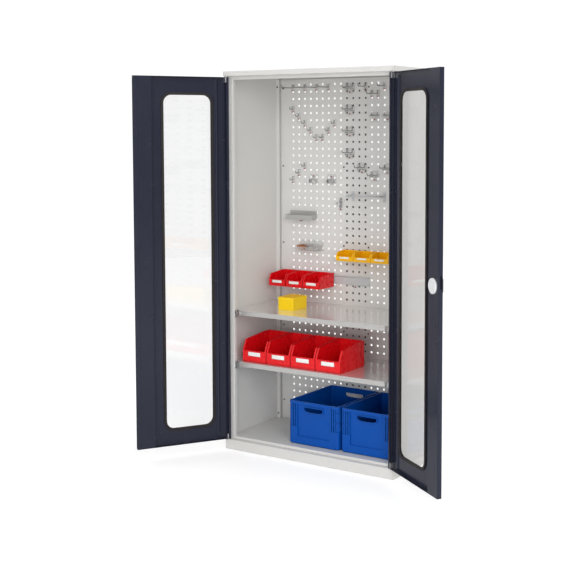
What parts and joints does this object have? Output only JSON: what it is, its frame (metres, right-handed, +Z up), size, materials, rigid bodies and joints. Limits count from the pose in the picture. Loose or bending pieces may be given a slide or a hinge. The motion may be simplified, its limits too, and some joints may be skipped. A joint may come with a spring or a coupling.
{
  "type": "tool cabinet with doors",
  "caption": "Tall sheet-steel tool cabinet with two window doors standing open, perforated rear wall with hooks, shelves, open-front bins and stacking crates.",
  "frame": {"origin": "on the floor under the middle of the cabinet body, midway between the side faces and midway between the front of the roof and the rear", "axes": "+X to the viewer's right across the width, +Y to the rear, +Z up; the doors open towards -Y"},
  "size_m": [1.6426, 0.9184, 1.95],
  "materials": {
    "body_paint": "light grey powder coat, fine texture",
    "panel_paint": "light grey powder coat on perforated sheet",
    "door_paint": "dark blue-grey powder coat, semi-gloss",
    "zinc_steel": "zinc plated",
    "bright_metal": "polished",
    "grey_rail": "mid grey paint",
    "clear_plastic": "clear moulded plastic",
    "clear_pane": "clear acrylic sheet",
    "wood": "plain timber",
    "black_rubber": "extruded profile",
    "white_plastic": "moulded",
    "dark_plastic": "moulded",
    "red_plastic": "moulded",
    "yellow_plastic": "moulded",
    "blue_plastic": "moulded"
  },
  "bodies": {
    "cabinet": {"side_panel_left": "body_paint", "side_panel_right": "body_paint", "roof_cap": "body_paint", "floor_pan": "body_paint", "plinth_frame": "body_paint", "base_cross_rail": "body_paint", "perforated_back_left": "panel_paint", "perforated_back_right": "panel_paint", "rear_centre_stiffener": "body_paint", "rear_cross_rails": "body_paint", "rear_upright_left": "body_paint", "rear_upright_right": "body_paint", "pivot_bushes": "zinc_steel", "shelf_upper": "body_paint", "shelf_lower": "body_paint", "shelf_clips": "zinc_steel", "rear_fasteners": "zinc_steel", "hook_pins": "zinc_steel", "hook_bases": "clear_plastic", "tool_clamps": "zinc_steel", "ring_bracket": "zinc_steel", "rod_holder": "zinc_steel", "tool_tray": "grey_rail", "clear_holder": "clear_plastic", "wood_insert": "wood", "bin_rails": "grey_rail", "hook_retainers": "red_plastic"},
    "left_door": {"left_door_shell": "door_paint", "left_door_box_section": "door_paint", "left_door_window_profile": "black_rubber", "left_door_pane": "clear_pane", "left_door_pivots": "zinc_steel", "left_door_stiffener": "door_paint"},
    "right_door": {"right_door_shell": "door_paint", "right_door_box_section": "door_paint", "right_door_window_profile": "black_rubber", "right_door_pane": "clear_pane", "right_door_pivots": "zinc_steel", "right_door_stiffener": "door_paint", "lock_case_and_guides": "zinc_steel", "lock_inner_cap": "white_plastic"},
    "lock_knob": {"lock_knob": "dark_plastic", "key_cylinder": "bright_metal", "lock_spindle": "zinc_steel"},
    "upper_rod": {"upper_lock_rod": "zinc_steel"},
    "lower_rod": {"lower_lock_rod": "zinc_steel"},
    "yellow_box": {"yellow_box_base": "yellow_plastic"},
    "yellow_box_lid": {"yellow_box_lid": "yellow_plastic"},
    "large_red_bin_1": {"large_red_bin_1": "red_plastic"},
    "large_red_bin_2": {"large_red_bin_2": "red_plastic"},
    "large_red_bin_3": {"large_red_bin_3": "red_plastic"},
    "large_red_bin_4": {"large_red_bin_4": "red_plastic"},
    "small_red_bin_1": {"small_red_bin_1": "red_plastic"},
    "small_red_bin_2": {"small_red_bin_2": "red_plastic"},
    "small_red_bin_3": {"small_red_bin_3": "red_plastic"},
    "small_yellow_bin_1": {"small_yellow_bin_1": "yellow_plastic"},
    "small_yellow_bin_2": {"small_yellow_bin_2": "yellow_plastic"},
    "small_yellow_bin_3": {"small_yellow_bin_3": "yellow_plastic"},
    "blue_crate_1": {"blue_crate_1": "blue_plastic"},
    "blue_crate_2": {"blue_crate_2": "blue_plastic"}
  },
  "joints": [
    {"name": "left_door_hinge", "type": "hinge", "parent": "cabinet", "child": "left_door", "pos_m": [-0.488, -0.242, 0.95], "axis": [0, 0, -1], "range_deg": [-121.9, 58]},
    {"name": "right_door_hinge", "type": "hinge", "parent": "cabinet", "child": "right_door", "pos_m": [0.488, -0.242, 0.95], "axis": [0, 0, 1], "range_deg": [-145.3, 34.6]},
    {"name": "lock_knob_turn", "type": "hinge", "parent": "right_door", "child": "lock_knob", "pos_m": [0.85101, -0.48363, 0.982], "axis": [0.5693, 0.8221, 0], "range_deg": [0, 90]},
    {"name": "upper_rod_slide", "type": "slide", "parent": "right_door", "child": "upper_rod", "axis": [0, 0, 1], "range_m": [0, 0.0184]},
    {"name": "lower_rod_slide", "type": "slide", "parent": "right_door", "child": "lower_rod", "axis": [0, 0, -1], "range_m": [0, 0.0184]},
    {"name": "large_red_bin_1_pull", "type": "slide", "parent": "cabinet", "child": "large_red_bin_1", "axis": [0, -1, 0], "range_m": [0, 0.2]},
    {"name": "large_red_bin_2_pull", "type": "slide", "parent": "cabinet", "child": "large_red_bin_2", "axis": [0, -1, 0], "range_m": [0, 0.2]},
    {"name": "large_red_bin_3_pull", "type": "slide", "parent": "cabinet", "child": "large_red_bin_3", "axis": [0, -1, 0], "range_m": [0, 0.2]},
    {"name": "large_red_bin_4_pull", "type": "slide", "parent": "cabinet", "child": "large_red_bin_4", "axis": [0, -1, 0], "range_m": [0, 0.2]},
    {"name": "small_red_bin_1_lift", "type": "slide", "parent": "cabinet", "child": "small_red_bin_1", "axis": [0, 0, 1], "range_m": [0, 0.03]},
    {"name": "small_red_bin_2_lift", "type": "slide", "parent": "cabinet", "child": "small_red_bin_2", "axis": [0, 0, 1], "range_m": [0, 0.03]},
    {"name": "small_red_bin_3_lift", "type": "slide", "parent": "cabinet", "child": "small_red_bin_3", "axis": [0, 0, 1], "range_m": [0, 0.03]},
    {"name": "small_yellow_bin_1_lift", "type": "slide", "parent": "cabinet", "child": "small_yellow_bin_1", "axis": [0, 0, 1], "range_m": [0, 0.03]},
    {"name": "small_yellow_bin_2_lift", "type": "slide", "parent": "cabinet", "child": "small_yellow_bin_2", "axis": [0, 0, 1], "range_m": [0, 0.03]},
    {"name": "small_yellow_bin_3_lift", "type": "slide", "parent": "cabinet", "child": "small_yellow_bin_3", "axis": [0, 0, 1], "range_m": [0, 0.03]},
    {"name": "blue_crate_1_pull", "type": "slide", "parent": "cabinet", "child": "blue_crate_1", "axis": [0, -1, 0], "range_m": [0, 0.36]},
    {"name": "blue_crate_2_pull", "type": "slide", "parent": "cabinet", "child": "blue_crate_2", "axis": [0, -1, 0], "range_m": [0, 0.36]},
    {"name": "yellow_box_pull", "type": "slide", "parent": "cabinet", "child": "yellow_box", "axis": [0, -1, 0], "range_m": [0, 0.2]},
    {"name": "yellow_box_lid_lift", "type": "slide", "parent": "yellow_box", "child": "yellow_box_lid", "axis": [0, 0, 1], "range_m": [0, 0.06]}
  ],
  "couplings": [
    {"joint": "upper_rod_slide", "follows": "lock_knob_turn", "m_per_rad": 0.011701},
    {"joint": "lower_rod_slide", "follows": "lock_knob_turn", "m_per_rad": 0.011701}
  ]
}
